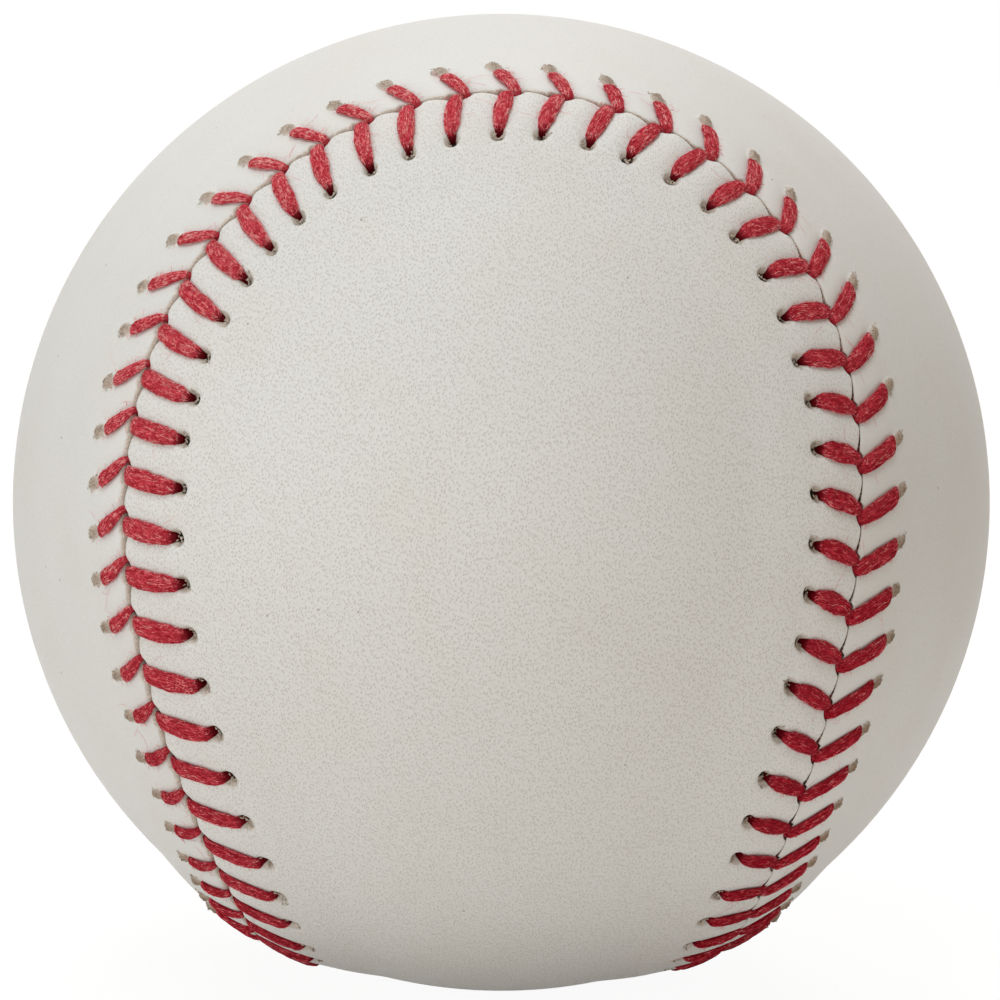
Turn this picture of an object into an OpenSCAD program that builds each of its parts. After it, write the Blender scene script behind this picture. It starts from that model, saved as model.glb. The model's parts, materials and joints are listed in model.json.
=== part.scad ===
// A sewn leather ball: a cork and rubber core, four yarn windings, two leather panels and two stitch threads.
// The origin is the centre of the ball. One panel has its lobes at -Y and +Y and its waist at -Z.
// The other panel has its lobes at -X and +X and its waist at +Z.

/* [Ball] */
// Circumference of the ball over its smooth leather
circumference = 228.6; // [222:0.1:240]
// Thickness of the leather
leather_t = 1.3; // [1:0.05:1.6]
// Film of cement between the leather and the yarn
cement_gap = 0.25; // [0.2:0.01:0.4]

/* [Core] */
// Diameter of the cork nucleus
cork_d = 20.6; // [18:0.1:23]
// Wall of the two black rubber halves
black_wall = 4; // [3:0.1:5]
// Thickness of the gasket between the black halves
gasket_t = 1.2; // [0.8:0.1:2]
// Wall of the red rubber jacket
red_wall = 3.2; // [2:0.1:4]
// Clearance between one layer of the ball and the next
layer_gap = 0.1; // [0.05:0.01:0.2]

/* [Windings] */
// Thickness of the white wool winding
second_t = 1.8; // [1.2:0.1:2.4]
// Thickness of the grey wool winding over the white one
third_t = 2.2; // [1.6:0.1:2.8]
// Thickness of the fine cotton winding that finishes the core
finishing_t = 0.6; // [0.4:0.05:1]

/* [Seam] */
// Width of a panel across its waist, from seam to seam
waist_w = 34.5; // [31:0.1:37]
// Lean of the seam from upright where it crosses the equator, in degrees
seam_lean = 9.4; // [5:0.1:11]
// Sideways wander of the hand-sewn seam
seam_wander = 0.55; // [0:0.05:0.8]
// Height of the sewn edges above the smooth leather
seam_rise = 0.65; // [0.55:0.05:0.9]
// Distance from the seam at which the leather starts to rise
rise_w = 9.5; // [8:0.1:11]
// Distance from the seam to the crest of a sewn edge
crest_inset = 1.7; // [1.3:0.1:2.2]
// Drop of a sewn edge from its crest down into the seam
edge_drop = 0.45; // [0.3:0.05:0.6]
// Gap between the two leather edges halfway between stitches
edge_gap = 0.25; // [0.15:0.05:0.5]

/* [Stitching] */
// Number of double stitches round the seam
stitches = 108; // [100:4:116]
// Distance along the seam from the top of the front lobe to the first stitch
first_stitch = 0.5; // [0:0.1:3]
// Distance of the front panel's holes from the seam
front_inset = 4.6; // [4.2:0.1:5.5]
// Drift of the front panel's holes to either side of that distance
front_drift = 0.65; // [0:0.05:1]
// Distance of the top panel's holes from the seam
top_inset = 4; // [3.6:0.1:5]
// Lead of a stitch's point over its two holes, along the seam
stitch_lead = 1.1; // [0.8:0.1:2]
// Length of a stitch hole, across the seam
hole_l = 1.4; // [1.2:0.05:1.7]
// Width of a stitch hole, along the seam
hole_w = 1.2; // [1:0.05:1.5]
// Width of a thread where it lies flat on the leather
thread_w = 1.6; // [1.2:0.05:2]
// Width of a thread where it passes through a hole or the seam
thread_neck = 0.8; // [0.6:0.05:0.9]
// Thickness of a thread
thread_t = 0.5; // [0.4:0.05:0.55]
// Clearance between a thread and what it passes
thread_gap = 0.06; // [0.04:0.01:0.1]

/* [Hidden] */
$fn = 96;
FRONT = 1;
TOP = -1;

// Radii of the layers, worked inwards from the leather and outwards from the cork
ball_r = circumference / (2 * PI);
flesh_r = ball_r - leather_t;
finishing_r = flesh_r - cement_gap;
third_r = finishing_r - finishing_t - layer_gap;
second_r = third_r - third_t - layer_gap;
first_r = second_r - second_t - layer_gap;
cork_r = cork_d / 2;
black_r = cork_r + layer_gap + black_wall;
red_r = black_r + layer_gap + red_wall;

// Seam curve: shares of its first and third waves and its height, which give the waist and the lean
waist_angle = waist_w / 2 / ball_r * 180 / PI;
seam_height = 1 / (2 * (tan(waist_angle) + tan(seam_lean)));
wave_3 = (1 - seam_height * tan(waist_angle)) / 2;
wave_1 = 1 - wave_3;
lobe_top = 270;
seam_steps = 720;
wander_waves = 6;
wander_peak = -21.6;
drift_waves = 2;
drift_peak = -42;

// Mesh of a panel: two columns of points a stitch, and rows between the raised band and the spine
cols = 2 * stitches;
spine_rows = 4;
spine_draw = 0.22;
probe = 0.1;

function unit(v) = v / norm(v);

function seam_dir(u) = unit([
    wave_1 * cos(u) - wave_3 * cos(3 * u),
    wave_1 * sin(u) + wave_3 * sin(3 * u),
    -seam_height * cos(2 * u)
]);

// Length of the seam up to each of its steps, against the curve's angle there
function seam_angle(k) = lobe_top + 360 * k / seam_steps;
function seam_chord(k) = ball_r * norm(seam_dir(seam_angle(k + 1)) - seam_dir(seam_angle(k)));
seam_run = [
    for (k = 0, s = 0; k <= seam_steps; s = s + seam_chord(k), k = k + 1) [s, seam_angle(k)]
];
seam_len = seam_run[seam_steps][0];
pitch = seam_len / stitches;

function along(s) = s - seam_len * floor(s / seam_len);
function wander(s) = seam_wander * cos(360 * wander_waves * (s - wander_peak) / seam_len);

// Point at a length along the seam, a distance from it towards the front panel, and a radius
function at(s, d, r) =
    let (
        u = lookup(along(s), seam_run),
        p = seam_dir(u),
        t = unit(seam_dir(u + probe) - seam_dir(u - probe)),
        turn = (d + wander(s)) / ball_r * 180 / PI
    )
    r * (p * cos(turn) + cross(t, p) * sin(turn));

// Rise of the leather at a distance from the seam
function lift(d) = d < rise_w ? seam_rise * pow(1 - pow(d / rise_w, 3), 1.5) : 0;

function inset(side, s) =
    side == FRONT
        ? front_inset + front_drift * cos(360 * drift_waves * (s - drift_peak) / seam_len)
        : top_inset;
function stitch_s(i) = first_stitch + i * pitch;
function hole_s(i) = stitch_s(i) - stitch_lead;

// The two threads dive into the seam side by side, so the edges part there by a thread's thickness
slot = thread_t / 2 + thread_gap;
dive = thread_neck / 2 + thread_gap;

// Columns of a panel's points: an even one runs from a stitch's slot to just past its hole,
// and an odd one from halfway to the next stitch to just before the next hole.
function stitch_of(j) = floor(j / 2);
function edge_s(j) = stitch_s(stitch_of(j)) + (j % 2) * pitch / 2;
function edge_d(j) = j % 2 == 0 ? slot : edge_gap / 2;
function hole_col_s(j) = j % 2 == 0
    ? hole_s(stitch_of(j)) + hole_w / 2
    : hole_s(stitch_of(j) + 1) - hole_w / 2;
function crest_s(j) = (3 * edge_s(j) + hole_col_s(j)) / 4;

function edge_row(side, r) = [
    for (j = [0 : cols - 1]) at(edge_s(j), side * edge_d(j), r + lift(0))
];
function crest_row(side, r) = [
    for (j = [0 : cols - 1]) at(crest_s(j), side * crest_inset, r + lift(crest_inset))
];
function hole_row(side, end, r) = [
    for (j = [0 : cols - 1])
        let (s = hole_col_s(j), d = inset(side, s) + end * hole_l / 2)
        at(s, side * d, r + lift(d))
];
function band_row(side, r) = [
    for (i = [0 : stitches - 1]) at(hole_s(i), side * rise_w, r)
];

// The spine of a panel lies in its plane of symmetry, and columns of both halves meet on it in pairs
function spine_angle(side, p) = side == FRONT ? atan2(-p.y, -p.z) : atan2(p.x, p.z);
function spine_dir(side, a) = side == FRONT ? [0, -sin(a), -cos(a)] : [sin(a), 0, cos(a)];
function lobe_column(side) = side == FRONT ? 0 : round(stitches / 4);
function from_lobe(side, i) = (i - lobe_column(side) + stitches) % stitches;
function spine_id(side, i) = min(from_lobe(side, i), stitches - from_lobe(side, i));
function spine_row(side, r) =
    let (
        band = band_row(side, 1),
        lobe = lobe_column(side),
        end = spine_angle(side, band[lobe])
    )
    [
        for (k = [0 : floor(stitches / 2)])
            let (a = spine_angle(side, band[(lobe + k) % stitches]))
            r * spine_dir(side, a * (1 - spine_draw * pow(a / end, 2)))
    ];
function inner_row(side, share, r) =
    let (band = band_row(side, 1), spine = spine_row(side, 1))
    [
        for (i = [0 : stitches - 1])
            r * unit(band[i] * (1 - share) + spine[spine_id(side, i)] * share)
    ];

// Triangles between two rows of point numbers. Numbers that repeat in a row close its triangles up.
function strip(a, b, open = false) = [
    for (j = [0 : cols - 1])
        let (k = (j + 1) % cols)
        for (f = [[a[j], a[k], b[k]], [a[j], b[k], b[j]]])
            if (!(open && j % 2 == 1) && f[0] != f[1] && f[1] != f[2] && f[2] != f[0]) f
];
function walls(a, b, a_in, b_in) = [
    for (j = [1 : 2 : cols - 1])
        let (
            k = (j + 1) % cols,
            rim = [a[j], a[k], b[k], b[j]],
            foot = [a_in[j], a_in[k], b_in[k], b_in[j]]
        )
        for (m = [0 : 3])
            let (n = (m + 1) % 4)
            for (f = [[rim[m], rim[n], foot[n]], [rim[m], foot[n], foot[m]]]) f
];

// One leather panel, from the spine of its flesh side round its sewn edge to the spine of its grain side
module panel(side) {
    middle = [for (k = [spine_rows - 1 : -1 : 1]) k / spine_rows];
    flesh = concat(
        [spine_row(side, flesh_r)],
        [for (share = middle) inner_row(side, share, flesh_r)],
        [band_row(side, flesh_r), hole_row(side, 1, flesh_r), hole_row(side, -1, flesh_r)],
        [edge_row(side, flesh_r)]
    );
    grain = concat(
        [edge_row(side, ball_r - edge_drop), crest_row(side, ball_r)],
        [hole_row(side, -1, ball_r), hole_row(side, 1, ball_r), band_row(side, ball_r)],
        [for (k = [1 : spine_rows - 1]) inner_row(side, k / spine_rows, ball_r)],
        [spine_row(side, ball_r)]
    );
    rows = concat(flesh, grain);
    starts = [for (k = 0, n = 0; k < len(rows); n = n + len(rows[k]), k = k + 1) n];
    ids = [
        for (k = [0 : len(rows) - 1])
            let (n = len(rows[k]))
            [
                for (j = [0 : cols - 1])
                    let (i = floor((j + 1) / 2) % stitches)
                    starts[k] + (n == cols ? j : n == stitches ? i : spine_id(side, i))
            ]
    ];
    far_in = spine_rows + 1;
    near_in = far_in + 1;
    near_out = near_in + 4;
    far_out = near_out + 1;
    faces = concat(
        [
            for (k = [0 : len(rows) - 2])
                each strip(ids[k], ids[k + 1], k == far_in || k == near_out)
        ],
        walls(ids[near_out], ids[far_out], ids[near_in], ids[far_in])
    );
    polyhedron(
        points = [for (row = rows) each row],
        faces = [for (f = faces) side == FRONT ? f : [f[2], f[1], f[0]]],
        convexity = 10
    );
}

// Route of a thread through one stitch: up its hole, over the crest, down the seam and under the other edge.
// Each point has its length along the seam, its distance from it, its radius and the thread's width there.
function channel_r(d) = flesh_r + (lift(d) - cement_gap) / 2;
function stitch_route(i, side) =
    let (s_hole = hole_s(i), s_dive = stitch_s(i) - side * dive, d = inset(side, hole_s(i)))
    [
        [s_hole, side * d, channel_r(d), thread_neck],
        [s_hole, side * d, ball_r + lift(d) + thread_t / 2 + thread_gap, thread_neck],
        [(s_hole + s_dive) / 2, side * d / 2, ball_r + lift(d / 2) + thread_t / 2 + thread_gap, thread_w],
        [s_dive, 0, ball_r + lift(0) + thread_gap + thread_t / 3, thread_neck],
        [s_dive, 0, channel_r(0), thread_neck]
    ];

// One thread: a flat tube of four sides, sewn from one panel to the other at every stitch
module thread(first_side) {
    route = [
        for (i = [0 : stitches - 1]) each stitch_route(i, i % 2 == 0 ? first_side : -first_side)
    ];
    n = len(route);
    path = [for (p = route) at(p[0], p[1], p[2])];
    points = [
        for (k = [0 : n - 1])
            let (
                p = route[k],
                way = unit(path[(k + 1) % n] - path[(k + n - 1) % n]),
                s_way = unit(at(p[0] + probe, p[1], p[2]) - at(p[0] - probe, p[1], p[2])),
                across = unit(s_way - way * (s_way * way)),
                up = cross(way, across)
            )
            for (v = [across * p[3], up * thread_t, -across * p[3], -up * thread_t]) path[k] + v / 2
    ];
    faces = [
        for (k = [0 : n - 1])
            for (m = [0 : 3])
                let (a = 4 * k, b = 4 * ((k + 1) % n), q = (m + 1) % 4)
                for (f = [[a + m, b + m, b + q], [a + m, b + q, a + q]]) f
    ];
    polyhedron(points = points, faces = faces, convexity = 10);
}

// A hollow ball between two radii
module shell(outer_r, inner_r) {
    difference() {
        sphere(r = outer_r);
        sphere(r = inner_r);
    }
}

// Upper half of the black rubber, from the gasket up, in section right of the axis
module black_half() {
    rotate_extrude()
        intersection() {
            difference() {
                circle(r = black_r);
                circle(r = cork_r + layer_gap);
            }
            translate([0, gasket_t / 2 + layer_gap])
                square(black_r);
        }
}

module cork_nucleus() {
    color("burlywood")
        sphere(r = cork_r);
}

module black_half_upper() {
    color("dimgray")
        black_half();
}

module black_half_lower() {
    color("dimgray")
        mirror([0, 0, 1])
            black_half();
}

module core_gasket() {
    color("indianred")
        intersection() {
            shell(black_r, cork_r + layer_gap);
            cube([2 * black_r, 2 * black_r, gasket_t], center = true);
        }
}

module red_jacket() {
    color("firebrick")
        shell(red_r, black_r + layer_gap);
}

module first_winding() {
    color("gray")
        shell(first_r, red_r + layer_gap);
}

module second_winding() {
    color("ivory")
        shell(second_r, first_r + layer_gap);
}

module third_winding() {
    color("darkgray")
        shell(third_r, second_r + layer_gap);
}

module finishing_winding() {
    color("beige")
        shell(finishing_r, third_r + layer_gap);
}

module front_cover_panel() {
    color("linen")
        panel(FRONT);
}

module top_cover_panel() {
    color("antiquewhite")
        panel(TOP);
}

module stitch_thread_a() {
    color("crimson")
        thread(FRONT);
}

module stitch_thread_b() {
    color("brown")
        thread(TOP);
}

cork_nucleus();
black_half_upper();
black_half_lower();
core_gasket();
red_jacket();
first_winding();
second_winding();
third_winding();
finishing_winding();
front_cover_panel();
top_cover_panel();
stitch_thread_a();
stitch_thread_b();
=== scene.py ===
# %% [markdown]
# # A sewn leather baseball
# The real ball is a cork and rubber core, wound with four layers of yarn and closed by two leather
# panels of one shape. Two red threads sew the panels together with 108 double stitches. The packed
# solids give every size and place, so they are loaded first and never moved. This lesson adds what the
# eye sees on them: leather with pores and punched holes, edges that swell between the stitches, and
# thread that is made of fibres.

import json
import math

import bmesh
import bpy
import numpy as np
from mathutils import Matrix


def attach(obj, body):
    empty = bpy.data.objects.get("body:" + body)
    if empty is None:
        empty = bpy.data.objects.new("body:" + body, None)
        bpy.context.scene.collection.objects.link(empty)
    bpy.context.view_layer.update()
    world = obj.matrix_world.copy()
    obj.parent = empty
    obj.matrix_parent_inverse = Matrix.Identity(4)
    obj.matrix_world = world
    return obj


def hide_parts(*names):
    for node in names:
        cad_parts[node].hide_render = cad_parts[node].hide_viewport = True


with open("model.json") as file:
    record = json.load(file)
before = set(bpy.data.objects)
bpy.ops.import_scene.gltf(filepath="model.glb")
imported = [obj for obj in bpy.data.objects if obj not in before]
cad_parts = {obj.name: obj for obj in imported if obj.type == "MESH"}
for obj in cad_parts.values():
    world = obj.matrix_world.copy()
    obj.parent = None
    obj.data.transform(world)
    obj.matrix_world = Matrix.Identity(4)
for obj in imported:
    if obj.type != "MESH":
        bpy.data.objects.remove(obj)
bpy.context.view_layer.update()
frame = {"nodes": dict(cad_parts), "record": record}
solids = frame["nodes"]
scene = bpy.context.scene
scene.view_settings.view_transform = "Standard"
MM = 0.001
ball_r = frame["record"]["mounts"][0]["dims"]["r_mm"]
print("solids:", len(solids), "- ball radius in mm:", ball_r)

# %% [markdown]
# ## The camera
# A long lens stands in front of the ball, a little above its middle, and is rolled by just over a
# degree. Three turns give that better than hand-typed coordinates: the azimuth about Z, the elevation
# about X, and the roll about the line of sight. The small shift centres the ball in the frame as the
# photograph has it.

# %% Camera
AZIMUTH = math.radians(0.86)
ELEVATION = math.radians(10.252)
ROLL = math.radians(1.436)
DISTANCE = 655.0 * MM
camera = bpy.data.objects.new("camera", bpy.data.cameras.new("camera"))
scene.collection.objects.link(camera)
orbit = Matrix.Rotation(AZIMUTH, 4, "Z") @ Matrix.Rotation(math.pi / 2 - ELEVATION, 4, "X")
camera.matrix_world = orbit @ Matrix.Rotation(ROLL, 4, "Z") @ Matrix.Translation((0, 0, DISTANCE))
camera.data.sensor_width = 36
camera.data.lens = 316.1
camera.data.shift_x = -0.0013
camera.data.shift_y = 0.0023
camera.data.clip_start = 0.01
scene.camera = camera
print("camera at", [round(c, 4) for c in camera.matrix_world.translation])

# %% [markdown]
# ## Small helpers for shader nodes
# Every finish below is a tree of shader nodes. Writing each node with four lines would hide the recipe,
# so `put` adds a node and sets its sockets by name, `join` links an output or sets a plain value, and
# three more helpers stand for the nodes that appear most: Math, the colour Mix and Map Range.
# `new_finish` starts a material and hands back its tree and its shader.


# %% Node helpers
def put(tree, kind, **settings):
    made = tree.nodes.new("ShaderNode" + kind)
    for name, value in settings.items():
        socket = made.inputs.get(name.replace("_", " "))
        if socket is None:
            setattr(made, name, value)
        else:
            join(tree, value, socket)
    return made


def join(tree, given, socket):
    if isinstance(given, bpy.types.NodeSocket):
        tree.links.new(given, socket)
    else:
        socket.default_value = given


def sums(tree, operation, first, second):
    made = tree.nodes.new("ShaderNodeMath")
    made.operation = operation
    join(tree, first, made.inputs[0])
    join(tree, second, made.inputs[1])
    return made.outputs[0]


def mixed(tree, share, low, high):
    made = tree.nodes.new("ShaderNodeMix")
    made.data_type = "RGBA"
    join(tree, share, made.inputs[0])
    join(tree, low, made.inputs[6])
    join(tree, high, made.inputs[7])
    return made.outputs[2]


def ramped(tree, value, start, end):
    made = tree.nodes.new("ShaderNodeMapRange")
    made.interpolation_type = "SMOOTHSTEP"
    join(tree, value, made.inputs["Value"])
    made.inputs["From Min"].default_value = start
    made.inputs["From Max"].default_value = end
    return made.outputs["Result"]


def new_finish(name):
    finish = bpy.data.materials.new(name)
    finish.use_nodes = True
    tree = finish.node_tree
    return finish, tree, tree.nodes["Principled BSDF"]


print("node helpers ready")

# %% [markdown]
# ## The studio
# The ball was shot in a white studio: a broad soft light from above, weaker ones from the left and from
# beside the camera, one behind, and bounced light all round. The floor is a plain pale sheet under the
# ball. Seen by the camera it glows almost white, and the small share of it that stays matt still takes
# the ball's shadow.


# %% Floor and world
def seen_directly(tree):
    rays = put(tree, "LightPath").outputs
    camera_or_gloss = sums(tree, "MAXIMUM", rays["Is Camera Ray"], rays["Is Glossy Ray"])
    return sums(tree, "MAXIMUM", camera_or_gloss, rays["Is Transmission Ray"])


FLOOR_GLOW = 0.88
sheet = bmesh.new()
bmesh.ops.create_grid(sheet, x_segments=8, y_segments=8, size=1.5)
bmesh.ops.translate(sheet, verts=sheet.verts, vec=(0, 0, -ball_r * MM))
floor = bpy.data.objects.new("floor", bpy.data.meshes.new("floor"))
sheet.to_mesh(floor.data)
sheet.free()
scene.collection.objects.link(floor)
floor_finish, tree, matt = new_finish("floor_paper")
matt.inputs["Base Color"].default_value = (0.86, 0.85, 0.83, 1)
matt.inputs["Roughness"].default_value = 0.9
glow = put(tree, "Emission", Color=(1, 1, 1, 1), Strength=1.06)
blend = put(tree, "MixShader", Fac=sums(tree, "MULTIPLY", seen_directly(tree), FLOOR_GLOW))
tree.links.new(matt.outputs[0], blend.inputs[1])
tree.links.new(glow.outputs[0], blend.inputs[2])
tree.links.new(blend.outputs[0], tree.nodes["Material Output"].inputs["Surface"])
floor.data.materials.append(floor_finish)

WORLD_LEVEL = 0.27
world = bpy.data.worlds.new("studio_white")
scene.world = world
world.use_nodes = True
tree = world.node_tree
around = tree.nodes["Background"]
around.inputs["Color"].default_value = (1.0, 0.86, 0.7, 1)
around.inputs["Strength"].default_value = WORLD_LEVEL
seen = put(tree, "Background", Color=(1, 1, 1, 1), Strength=1.0)
blend = put(tree, "MixShader", Fac=seen_directly(tree))
tree.links.new(around.outputs[0], blend.inputs[1])
tree.links.new(seen.outputs[0], blend.inputs[2])
tree.links.new(blend.outputs[0], tree.nodes["World Output"].inputs["Surface"])
print("floor at z =", round(-ball_r * MM, 5), "m")


# %% Soft lamps
LAMP_AWAY = 0.85
LAMP_WIDE = 0.5
DAYLIGHT = (0.86, 0.945, 1.0)
PLAIN_WHITE = (1.0, 0.98, 0.98)


def soft_lamp(name, azimuth, elevation, tint, level):
    lamp = bpy.data.lights.new(name, "AREA")
    lamp.shape = "DISK"
    lamp.size = LAMP_WIDE
    lamp.energy = level * (math.pi * LAMP_AWAY) ** 2
    lamp.color = tint
    holder = bpy.data.objects.new(name, lamp)
    turn = Matrix.Rotation(math.radians(azimuth), 4, "Z")
    tilt = Matrix.Rotation(math.radians(90 - elevation), 4, "X")
    holder.matrix_world = turn @ tilt @ Matrix.Translation((0, 0, LAMP_AWAY))
    scene.collection.objects.link(holder)
    return holder


soft_lamp("lamp_above", azimuth=-30, elevation=72, tint=DAYLIGHT, level=0.42)
soft_lamp("lamp_left", azimuth=-62, elevation=14, tint=DAYLIGHT, level=0.19)
soft_lamp("lamp_front", azimuth=-8, elevation=2, tint=PLAIN_WHITE, level=0.24)
soft_lamp("lamp_behind", azimuth=170, elevation=55, tint=PLAIN_WHITE, level=0.35)

# %% [markdown]
# ## The seam curve
# The seam is one closed line that runs round the ball like the line on a tennis ball. It could be drawn
# by hand as a curve, but every stitch, hole and panel has to follow it, so it is a formula: a first and
# a third wave round Z and a wave up and down. The values are those of the solids. A point of the ball
# is then named in a sewer's way: how far along the seam, how far to its side, and how high.

# %% Seam
STITCHES = 108
WAIST_W = 34.5
SEAM_LEAN = math.radians(9.4)
waist_angle = WAIST_W / 2 / ball_r
seam_height = 1 / (2 * (math.tan(waist_angle) + math.tan(SEAM_LEAN)))
wave_3 = (1 - seam_height * math.tan(waist_angle)) / 2
wave_1 = 1 - wave_3


def unit(v):
    return v / np.linalg.norm(v, axis=-1, keepdims=True)


def seam_dir(u):
    x = wave_1 * np.cos(u) - wave_3 * np.cos(3 * u)
    y = wave_1 * np.sin(u) + wave_3 * np.sin(3 * u)
    z = -seam_height * np.cos(2 * u)
    return unit(np.stack([x, y, z], axis=-1))


seam_turns = np.linspace(1.5 * math.pi, 3.5 * math.pi, 1441)
seam_chords = ball_r * np.linalg.norm(np.diff(seam_dir(seam_turns), axis=0), axis=-1)
seam_run = np.concatenate([[0], np.cumsum(seam_chords)])
seam_len = seam_run[-1]
pitch = seam_len / STITCHES
print("seam length:", round(seam_len, 1), "mm, one stitch every", round(pitch, 3), "mm")

# %% Places beside the seam
SEAM_WANDER = 0.55
WANDER_WAVES = 6
WANDER_PEAK = -21.6
PROBE = 0.002


def wander(s):
    return SEAM_WANDER * np.cos(2 * math.pi * WANDER_WAVES * (s - WANDER_PEAK) / seam_len)


def on_ball(s, d, r):
    s, d, r = np.broadcast_arrays(s, d, r)
    u = np.interp(np.mod(s, seam_len), seam_run, seam_turns)
    p = seam_dir(u)
    t = unit(seam_dir(u + PROBE) - seam_dir(u - PROBE))
    turn = ((d + wander(s)) / ball_r)[..., None]
    return r[..., None] * (p * np.cos(turn) + np.cross(t, p) * np.sin(turn))


print("lobe top at", on_ball(0.0, 0.0, ball_r).round(2))

# %% [markdown]
# ## The sewing plan
# Each stitch has a hole in both panels and a point where the thread dives into the seam. A sewer sets
# these by hand and eye, so no two are quite alike. Slow waves along the seam move the holes and slacken
# the thread on one side of the ball. One more wave is painted light: it makes the thread paler where
# the most light falls, as at the top, and the hole tufts and curls darker where less falls, partly as
# painted shade and partly as dirt. A seeded random generator gives each hole a small slip, the same in
# every run. The leather, the threads and the fibres all read this one plan, so they always meet.

# %% Sewing plan
FRONT = 1
TOP = -1
FIRST_STITCH = 0.5
chance = np.random.default_rng(108)
stitch_s = FIRST_STITCH + pitch * np.arange(STITCHES)


def hand_wave(s, size, waves, peak):
    return size * np.cos(2 * math.pi * waves * (s - peak) / seam_len)


def pull(s):
    return hand_wave(s, 0.33, waves=4, peak=-4)


def slack(s):
    return 0.5 + hand_wave(s, 0.5, waves=1, peak=-70)


def tight(s):
    return np.clip(1.7 * (1 - slack(s)), 0, 1)


# Painted light: a wave along the seam that is high where the most light falls and low where least falls.
def worn(s):
    return 0.5 + hand_wave(s, 0.5, waves=2, peak=-16)


loose = np.clip(2.5 * slack(stitch_s) - 1.5, 0, 1)
inset = {
    FRONT: 4.5 + hand_wave(stitch_s, 0.62, waves=2, peak=-41),
    TOP: 3.85 + hand_wave(stitch_s, 0.4, waves=2, peak=67) + hand_wave(stitch_s, 0.5, waves=5, peak=-25),
}
lead = {
    FRONT: 1.12 + hand_wave(stitch_s, 0.42, waves=4, peak=-15),
    TOP: 0.97 + hand_wave(stitch_s, 0.6, waves=2, peak=23) + hand_wave(stitch_s, 0.25, waves=5, peak=-16),
}
reach_on = {FRONT: -0.17 - 0.12 * loose**2, TOP: 0.45 + 0.45 * loose**2}
hole_s = {}
hole_d = {}
dive_s = {}
hole_lean = {}
for side in (FRONT, TOP):
    slip = np.clip(chance.normal(0, 0.1, (2, STITCHES)), -0.2, 0.2)
    hole_s[side] = stitch_s - lead[side] + slip[0]
    hole_d[side] = inset[side] + slip[1]
    dive_s[side] = stitch_s - pull(stitch_s) + reach_on[side]
    hole_lean[side] = (hole_s[side] - dive_s[side]) / hole_d[side]
hole_lean[TOP] = hole_lean[TOP] * (1 - 0.75 * np.sqrt(loose))
nearest = hole_d[FRONT].min().round(2)
furthest = hole_d[FRONT].max().round(2)
print("holes:", 2 * STITCHES, "- front inset", nearest, "to", furthest, "mm")

# %% [markdown]
# ## How sewn leather lies
# Wet leather is pulled tight and dries in that shape. It rises towards the seam over the folded edges,
# sinks under each leg of thread, and swells between the legs. Sculpting that by hand 216 times would
# never stay even, so a few short formulas give the height of the leather at any place beside the seam.

# %% Sewn leather
SEAM_RISE = 0.65
RISE_W = 9.5
LEG_BEND = {FRONT: 1.3, TOP: 0.95}
LEG_BOW = {FRONT: 0.0, TOP: 0.4}
SWELL = {FRONT: 0.2, TOP: 0.14}
PRESS = 0.1
PRESS_HALF = 0.75
HELD_FROM = 0.55
HELD_OVER = 0.75


def lift(d):
    return SEAM_RISE * np.clip(1 - (np.abs(d) / RISE_W) ** 3, 0, 1) ** 1.5


def leg_s(side, i, d):
    share = np.clip(1 - d / hole_d[side][i], 0, 1)
    bow = LEG_BOW[side] * loose[i] * np.sin(math.pi * share)
    return hole_s[side][i] + (dive_s[side][i] - hole_s[side][i]) * share ** LEG_BEND[side] - bow


def off_leg(side, i, s, d):
    here = s - leg_s(side, i, d)
    there = s - leg_s(side, (i + 1) % STITCHES, d)
    here = here - seam_len * np.round(here / seam_len)
    there = there - seam_len * np.round(there / seam_len)
    return np.where(np.abs(here) < np.abs(there), here, there)


def sewn_height(side, i, s, d):
    q = off_leg(side, i, s, d)
    reach = np.clip((d / hole_d[side][i] - HELD_FROM) / HELD_OVER, 0, 1)
    held = 1 - reach * reach * (3 - 2 * reach)
    swell = SWELL[side] * (0.5 - 0.5 * np.cos(2 * math.pi * q / pitch))
    press = PRESS * np.exp(-((q / PRESS_HALF) ** 4))
    return lift(d) + held * (swell - press)


every = np.arange(STITCHES)
under_leg = sewn_height(FRONT, every, leg_s(FRONT, every, 2.0), 2.0)
print("under a leg:", under_leg.mean().round(3), "mm above the ball")

# %% [markdown]
# ## Wrapping a flat sheet
# A panel and a thread are both a flat sheet of little squares that is wrapped round and closed.
# Blender's grid operator makes the sheet. The plan gives each of its corners a new place, then doubles
# are merged, which closes the seams and poles, and the normals are turned outwards. Marks such as raw
# leather travel as attributes.


# %% Wrap a sheet
WELD = 0.002 * MM


def wrap_sheet(name, places, marks, cut_every=0):
    rows, columns = places.shape[:2]
    flat = bmesh.new()
    flat.loops.layers.uv.new("run")
    bmesh.ops.create_grid(flat, x_segments=columns - 1, y_segments=rows - 1, size=0.5, calc_uvs=True)
    if cut_every:
        flat.faces.ensure_lookup_table()
        cuts = [face for face in flat.faces if (face.index // (columns - 1) + 1) % cut_every == 0]
        bmesh.ops.delete(flat, geom=cuts, context="FACES_ONLY")
    mesh = bpy.data.meshes.new(name)
    flat.to_mesh(mesh)
    flat.free()
    mesh.vertices.foreach_set("co", (places * MM).ravel())
    for mark, values in marks.items():
        mesh.attributes.new(mark, "FLOAT", "POINT").data.foreach_set("value", values.ravel())
    closed = bmesh.new()
    closed.from_mesh(mesh)
    bmesh.ops.remove_doubles(closed, verts=closed.verts, dist=WELD)
    bmesh.ops.recalc_face_normals(closed, faces=closed.faces)
    for face in closed.faces:
        face.smooth = True
    open_edges = sum(edge.is_boundary for edge in closed.edges)
    closed.to_mesh(mesh)
    closed.free()
    piece = bpy.data.objects.new(name, mesh)
    scene.collection.objects.link(piece)
    print(name, "- faces:", len(mesh.polygons), "- open edges:", open_edges)
    return piece


print("sheet corners closer than", WELD / MM, "mm are merged")


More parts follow.
